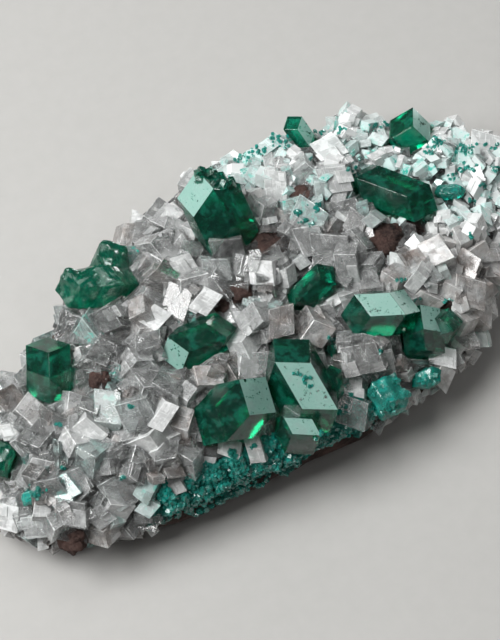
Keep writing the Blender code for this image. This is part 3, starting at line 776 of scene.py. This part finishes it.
# Where rock shows between the calcite: middle in pixels and radius in millimetres. The small knob at (99,
# 380) is dark rock put where the calcite only lies in shade: painted shade.
OUTCROPS = (((303, 190), 1.7), ((272, 241), 2.6), ((240, 292), 1.5), ((390, 240), 2.6), ((99, 380), 1.3),
            ((222, 300), 1.3), ((130, 492), 1.6), ((60, 340), 1.3), ((418, 226), 1.5), ((450, 300), 1.3),
            ((72, 541), 1.7))
# How much of a ball is pressed flat along the way out, and how deep its middle sits, as shares.
PRESSED, SUNK = 0.35, 0.42
# How milky a rhomb is whose milkiness in the list is 1.
FULL_MILK = 0.65
# How far the edges of the large and the small rhombs are cut, as a share of half an edge.
LARGE_CUT, SMALL_CUT = 0.035, 0.04


def outcrops(material):
    """Bumpy knobs of rock that reach the surface of the crust.

    Each is a ball on a grid of latitude and longitude, its radius varied by layered noise, and
    flattened along the way out.
    """
    rows, columns = 25, 40
    latitude = np.linspace(0.0, math.pi, rows)[:, None]
    longitude = np.linspace(0.0, 2 * math.pi, columns, endpoint=False)[None, :]
    ball = np.stack(np.broadcast_arrays(np.sin(latitude) * np.cos(longitude),
                                        np.sin(latitude) * np.sin(longitude), np.cos(latitude)), axis=2)
    poles_once = np.concatenate((ball[:1, 0], ball[1:-1].reshape(-1, 3), ball[-1:, 0]))
    middle = [[1 + r * columns + c, 1 + (r + 1) * columns + c, 1 + (r + 1) * columns + (c + 1) % columns,
               1 + r * columns + (c + 1) % columns] for r in range(rows - 3) for c in range(columns)]
    last = len(poles_once) - 1
    caps = [[0, 1 + c, 1 + (c + 1) % columns] for c in range(columns)]
    caps += [[last, last - columns + (c + 1) % columns, last - columns + c] for c in range(columns)]
    points, faces = [], []
    for index, (pixel, radius) in enumerate(OUTCROPS):
        place = seen_on(GROUND, pixel)
        out = outward(place[None])[0]
        bump = 1.0 + 0.28 * layered_noise(poles_once * 2.0 + 7.0 * index, 1.1, 20 + index)
        shape = poles_once * bump[:, None] * radius
        shape = shape - np.outer(shape @ out, out) * PRESSED
        faces += [[corner + len(points) * len(poles_once) for corner in face] for face in middle + caps]
        points.append(place - out * radius * SUNK + shape)
    piece = mesh_piece("rock_knobs", np.concatenate(points), faces, material)
    belongs(piece, "matrix")


def shown_rhombs(material):
    """The rhombs of the list, each sunk a little in the crust where the photograph shows it."""
    rng = np.random.default_rng(3)
    places = np.array([seen_on(GROUND, item.seen) for item in SHOWN_RHOMBS])
    edges = np.array([item.edges for item in SHOWN_RHOMBS])
    growth = np.array([item.growth for item in SHOWN_RHOMBS]) * (FULL_MILK, 1.0, 1.0)
    frames = np.array([facing_frame(item.tilt, item.turn) for item in SHOWN_RHOMBS])
    centres = places - np.array(BACK) * edges[:, 2:] * 0.30
    made = with_steps(centres, frames, edges, growth, 2, rng)
    piece = rhombs("calcite_large_rhombs", *made, LARGE_CUT, material)
    belongs(piece, "calcite")
    return centres, edges.max(axis=1)


def far_zone(points):
    """1 along the far and right rim, where the calcite is white and dusted teal, fading to 0."""
    across, rise = in_picture(points).T
    return np.clip((rise - 13.0 + 0.25 * across) / 5.0, 0, 1)


# Small rhombs: how many places are tried on the crust and on the rock beside it, how far past the
# crust they grow, and in millimetres the least edge and how much longer it may be.
CRUST_TRIES, BESIDE_TRIES, RIM_REACH = 8000, 16000, 1.6
LEAST_EDGE, MORE_EDGE = 1.0, 2.7
# How much smaller they are in the far zone, and a distance that clears the specimen, in millimetres.
FAR_SHRINK = 0.45
ABOVE = 60.0


def small_rhomb_places(large, large_edge, rng):
    """Where small rhombs grow and how long their edges are, largest first.

    They keep off the gems, the druse, the large rhombs and the outcrops, by shares of their edges,
    don't stand before a gem in the photograph, and don't widen the outline that it shows.
    """
    rim = beside(CRUST, RIM_REACH, BESIDE_TRIES, rng)
    points = np.concatenate((scattered("calcite_crust", CRUST_TRIES, rng), rim))
    edge = LEAST_EDGE + MORE_EDGE * rng.beta(1.1, 1.9, len(points))
    edge[-len(rim):] = rng.uniform(0.8, 1.7, len(rim))
    edge *= 1.0 - FAR_SHRINK * far_zone(points)
    free = far_from(GEMS, points, edge * 0.55) & in_reach(points, edge)
    free &= far_from(DRUSE, points, edge * 0.30) & ~covers(GEMS, points, edge * 0.45)
    free &= [GROUND.ray_cast(Vector(point) + BACK * ABOVE, -BACK)[0] is not None for point in points]
    points, edge = points[free], edge[free]
    gaps = np.linalg.norm(points[:, None] - large[None], axis=2)
    free = (gaps > 0.42 * large_edge + 0.20 * edge[:, None]).all(axis=1)
    for pixel, radius in OUTCROPS:
        near = np.linalg.norm(in_picture(points) - in_picture(seen_on(GROUND, pixel)), axis=1)
        free &= near > radius * 0.8 + edge * 0.35
    points, edge = points[free], edge[free]
    order = np.argsort(-edge)
    points, edge = points[order], edge[order]
    kept = thinned(points, edge, 0.36)
    return points[kept], edge[kept]


def small_rhomb_growth(points, rng):
    """How milky, brown and teal each one is, by its place in the photograph.

    The far zone is milky and teal, the right end brown, and the right part milkier than the left, which
    paints in brighter light there.
    """
    count = len(points)
    far = far_zone(points)
    right_end = np.clip((in_picture(points)[:, 0] - 20.0) / 4.0, 0, 1) * (1 - far)
    # Extra milk toward the right is painted light: it makes that part look brighter.
    right_painted_light = np.clip((in_picture(points)[:, 0] - 14.0) / 6.0, 0, 1)
    clear = rng.beta(0.6, 2.4, count) * 0.7
    milk = np.clip(clear + (0.65 * far + 0.45 * right_painted_light) * rng.uniform(0.4, 1.0, count), 0, 1)
    stain = np.where(rng.random(count) < 0.35, rng.uniform(0.2, 0.7, count), 0.0) * (1 - far)
    stain = np.maximum(stain, right_end * rng.uniform(0.2, 0.7, count))
    teal = np.where(rng.random(count) < 0.08 + 0.45 * far, rng.uniform(0.3, 1.0, count), 0.0)
    return np.column_stack((milk, stain, teal))


def small_rhombs(material, large, large_edge):
    """Smaller rhombs that fill the crust between the large ones, and hang over its rim."""
    rng = np.random.default_rng(21)
    points, edge = small_rhomb_places(large, large_edge, rng)
    growth = small_rhomb_growth(points, rng)
    frames = leaning_frames(outward(points), 0.75, rng) @ rhomb_edges()
    edges = edge[:, None] * rng.uniform(0.75, 1.2, (len(points), 3))
    centres = points - outward(points) * edge[:, None] * 0.2
    made = with_steps(centres, frames, edges, growth, 1, rng)
    piece = rhombs("calcite_small_rhombs", *made, SMALL_CUT, material)
    belongs(piece, "calcite")


# The druse: how many places are tried on its band and on the rock beside it, how far past it they
# go, and in millimetres the crystals' least and most across.
DRUSE_TRIES, BY_DRUSE_TRIES, DRUSE_REACH = 5000, 30000, 1.5
DRUSE_ACROSS = (0.25, 0.75)


def druse(material):
    """Small dioptase crystals all over the teal band and on the rock beside it."""
    rng = np.random.default_rng(8)
    rim = beside(DRUSE, DRUSE_REACH, BY_DRUSE_TRIES, rng)
    points = np.concatenate((scattered("dioptase_druse", DRUSE_TRIES, rng, -0.3), rim))
    across = rng.uniform(*DRUSE_ACROSS, len(points))
    across[-len(rim):] *= 1.4
    points, across = points[in_reach(points, across)], across[in_reach(points, across)]
    kept = thinned(points, across, 0.34)
    points, across = points[kept], across[kept]
    frames = leaning_frames(outward(points), 0.8, rng)
    length = across * rng.uniform(1.3, 2.2, len(points))
    piece = prisms("druse_small_crystals", points, frames, across, length, material)
    belongs(piece, "dioptase_druse")


# Teal crystals on the calcite: middle and spread in pixels, and how many.
TEAL_SPOTS = (
    ((36, 492), 5, 30), ((131, 407), 2, 6), ((58, 424), 2, 5), ((207, 465), 3, 10), ((62, 469), 2, 4),
    ((123, 478), 2, 4), ((465, 149), 6, 40), ((436, 141), 5, 20), ((473, 200), 4, 12), ((497, 168), 4, 16),
    ((467, 168), 5, 16), ((375, 128), 5, 16), ((389, 122), 4, 10), ((256, 152), 8, 26), ((240, 158), 5, 12),
    ((288, 142), 7, 22), ((275, 135), 6, 14), ((310, 160), 3, 6), ((361, 160), 2, 4), ((352, 170), 3, 8),
    ((428, 152), 4, 10), ((298, 214), 3, 8), ((307, 222), 4, 10), ((318, 208), 5, 12), ((470, 236), 3, 6),
    ((415, 300), 3, 5), ((446, 300), 3, 6), ((402, 280), 3, 5), ((452, 176), 4, 8), ((484, 186), 4, 8),
    ((340, 130), 5, 10), ((320, 128), 5, 12), ((493, 145), 4, 6), ((333, 340), 3, 5), ((381, 352), 3, 5),
)
# Their least and most across, in millimetres.
SPECK_ACROSS = (0.15, 0.5)


def clusters(name, listed, surface, slot, material):
    """Small dioptase crystals in clusters, where a ray through their pixel meets the surface."""
    rng = np.random.default_rng(14)
    pixels = np.concatenate([np.array(seen) + rng.normal(size=(count, 2)) * spread * (0.8, 0.5)
                             for seen, spread, count, _, _ in listed])
    points = np.array([seen_on(surface, pixel) for pixel in pixels])
    across = np.concatenate([rng.uniform(least, most, count) for _, _, count, least, most in listed])
    frames = leaning_frames(outward(points), 0.7, rng)
    piece = prisms(name, points, frames, across, across * rng.uniform(1.1, 1.8, len(points)), material)
    belongs(piece, slot)


# Small crystals on the large ones: middle and spread in pixels, how many, and least and most across
# in millimetres. The green ones stand on far rims, the teal ones on the pale faces and by the rough end.
GREEN_GROWTHS = (
    ((199, 173), 4, 7, 0.6, 1.2), ((209, 174), 4, 7, 0.7, 1.3), ((219, 177), 4, 6, 0.6, 1.2),
    ((229, 183), 4, 6, 0.6, 1.2), ((236, 190), 3, 4, 0.6, 1.1), ((404, 330), 3, 4, 0.4, 0.8),
)
TEAL_GROWTHS = (
    ((304, 379), 3, 9, 0.2, 0.5), ((297, 374), 2, 5, 0.2, 0.4), ((311, 386), 2, 5, 0.2, 0.4),
    ((199, 175), 2, 5, 0.2, 0.4), ((372, 392), 4, 10, 0.4, 0.8), ((388, 408), 5, 12, 0.4, 0.9),
    ((404, 394), 4, 9, 0.4, 0.8), ((396, 381), 3, 6, 0.3, 0.7), ((428, 380), 6, 18, 0.3, 0.8),
    ((345, 428), 5, 12, 0.3, 0.8), ((322, 436), 5, 10, 0.3, 0.7),
)


# Faces that are pale in the photograph, by the direction in which they mirror its light, as (right, up,
# towards the viewer). Their pale colour is partly etched frosting and partly painted reflection of that
# light.
PALE_FACES = {
    "dioptase_far_left": ((-0.94, 0.29, -0.16),),
    "dioptase_middle_left": ((-0.75, -0.62, 0.22),),
    "dioptase_right_group": ((-0.10, 0.74, 0.67), (0.56, 0.63, -0.55), (0.83, 0.55, -0.12)),
    "dioptase_front_tall": ((0.30, 0.17, 0.94),),
    "dioptase_front_wide": ((0.94, 0.35, -0.02),),
    "dioptase_far_edge": ((0.75, 0.44, -0.49),),
    "dioptase_far_small": ((0.78, 0.39, 0.49),),
}
# A face is one of them when it points within 9 degrees of the one listed.
PALE_WITHIN = math.cos(math.radians(9.0))
# The least area of a pale face in square millimetres, and how wide the cut along each edge is.
LEAST_PALE = 1.0
EDGE_CUT = 0.02
# Faces of a solid that lean less than this from each other are one face.
FLAT_WITHIN = math.radians(0.6)

# Crystals with broken or crusted faces: how many rounds of smoothing, and how far noise pushes them
# in millimetres.
BROKEN = {
    "dioptase_left_edge": (1, 0.35), "dioptase_left_end": (3, 0.30), "dioptase_front_rough": (2, 0.35),
    "dioptase_small_right": (1, 0.15), "dioptase_small_front": (1, 0.20), "dioptase_small_left": (1, 0.15),
}
# The broken ones that are as teal as the druse.
TEAL_NODES = ("dioptase_front_rough", "dioptase_small_front", "dioptase_small_right", "dioptase_small_left")
# The longest edge of a broken crystal's mesh and the width of its scoops, in millimetres.
BROKEN_MESH, SCOOP = 0.35, 3.2


def broken_gem(node, material):
    """A merged copy of a CAD crystal with worn edges and shell-like fractures.

    The push is the absolute value of layered noise: scoops that meet in ridges.
    """
    smoothing, depth = BROKEN[node]
    piece = piece_from(refined(node, BROKEN_MESH, smoothing), node.replace("dioptase_", "gem_"), material)
    push(piece, lambda points: depth * (0.6 - 1.6 * abs(layered_noise(points, SCOOP, 31, 3))))
    belongs(piece, "dioptase", node)


def gem(node, material):
    """A merged copy of a CAD crystal with narrow cut edges, and its pale faces marked for painted
    reflection.
    """
    bm = merged(node)
    bmesh.ops.dissolve_limit(bm, angle_limit=FLAT_WITHIN, verts=bm.verts[:], edges=bm.edges[:])
    bmesh.ops.bevel(bm, geom=bm.edges[:], offset=EDGE_CUT * MM, segments=1, affect="EDGES")
    # Faces that mirror a listed lamp direction are marked for the pale skin: painted reflection over etched
    # frosting.
    etched_painted_reflection = bm.faces.layers.float.new("etched_painted_reflection")
    for face in bm.faces:
        for mirror in PALE_FACES.get(node, ()):
            pale = unit(np.array(mirror) + np.array((0.0, 0.0, 1.0))) @ VIEW
            if face.calc_area() > LEAST_PALE * MM * MM and pale @ np.array(face.normal) > PALE_WITHIN:
                face[etched_painted_reflection] = 1.0
    piece = piece_from(bm, node.replace("dioptase_", "gem_"), material)
    belongs(piece, "dioptase", node)


# The scene

camera()
for box in SOFTBOXES:
    softbox(box)
surroundings()

# The floor reaches this far from the middle, in millimetres.
FLOOR = 3000.0
floor = mesh_piece("floor", [(x * FLOOR, y * FLOOR, 0.0) for x, y in ((-1, -1), (1, -1), (1, 1), (-1, 1))],
                   [(0, 1, 2, 3)], card())

rock_material = rock()
matrix(rock_material)
outcrops(rock_material)

crust_material = calcite("calcite_crust_grown", True)
rhomb_material = calcite("calcite_rhombs_grown", False)
large, large_edge = shown_rhombs(rhomb_material)
small_rhombs(rhomb_material, large, large_edge)

gem_material = dioptase("dioptase_crystal_grown", clear="#3FC9AA", cloudy="#0B6B52", least=0.0,
                        veiled=0.30, roughness=0.08)
broken_material = dioptase("dioptase_crystal_broken", clear="#1BA383", cloudy="#08634E", least=0.10,
                           veiled=0.36, roughness=0.15)
teal_material = dioptase("dioptase_druse_grown", clear="#49C9BA", cloudy="#0F9488", least=0.18,
                         veiled=0.75, roughness=0.12)
druse(teal_material)
on_calcite = tree_of("calcite_large_rhombs", "calcite_small_rhombs")
on_solids = tree_of(*sorted(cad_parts))
specks = [(*spot, *SPECK_ACROSS) for spot in TEAL_SPOTS]
clusters("teal_specks", specks, on_calcite, "dioptase_druse", teal_material)
clusters("teal_growths", TEAL_GROWTHS, on_solids, "dioptase_druse", teal_material)
clusters("green_growths", GREEN_GROWTHS, on_solids, "dioptase", gem_material)

for node, material in (("calcite_crust", crust_material), ("dioptase_druse", teal_material)):
    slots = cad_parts[node].data.materials
    slots.clear()
    slots.append(material)

for node in DIOPTASE_NODES:
    if node in BROKEN:
        broken_gem(node, teal_material if node in TEAL_NODES else broken_material)
    else:
        gem(node, gem_material)
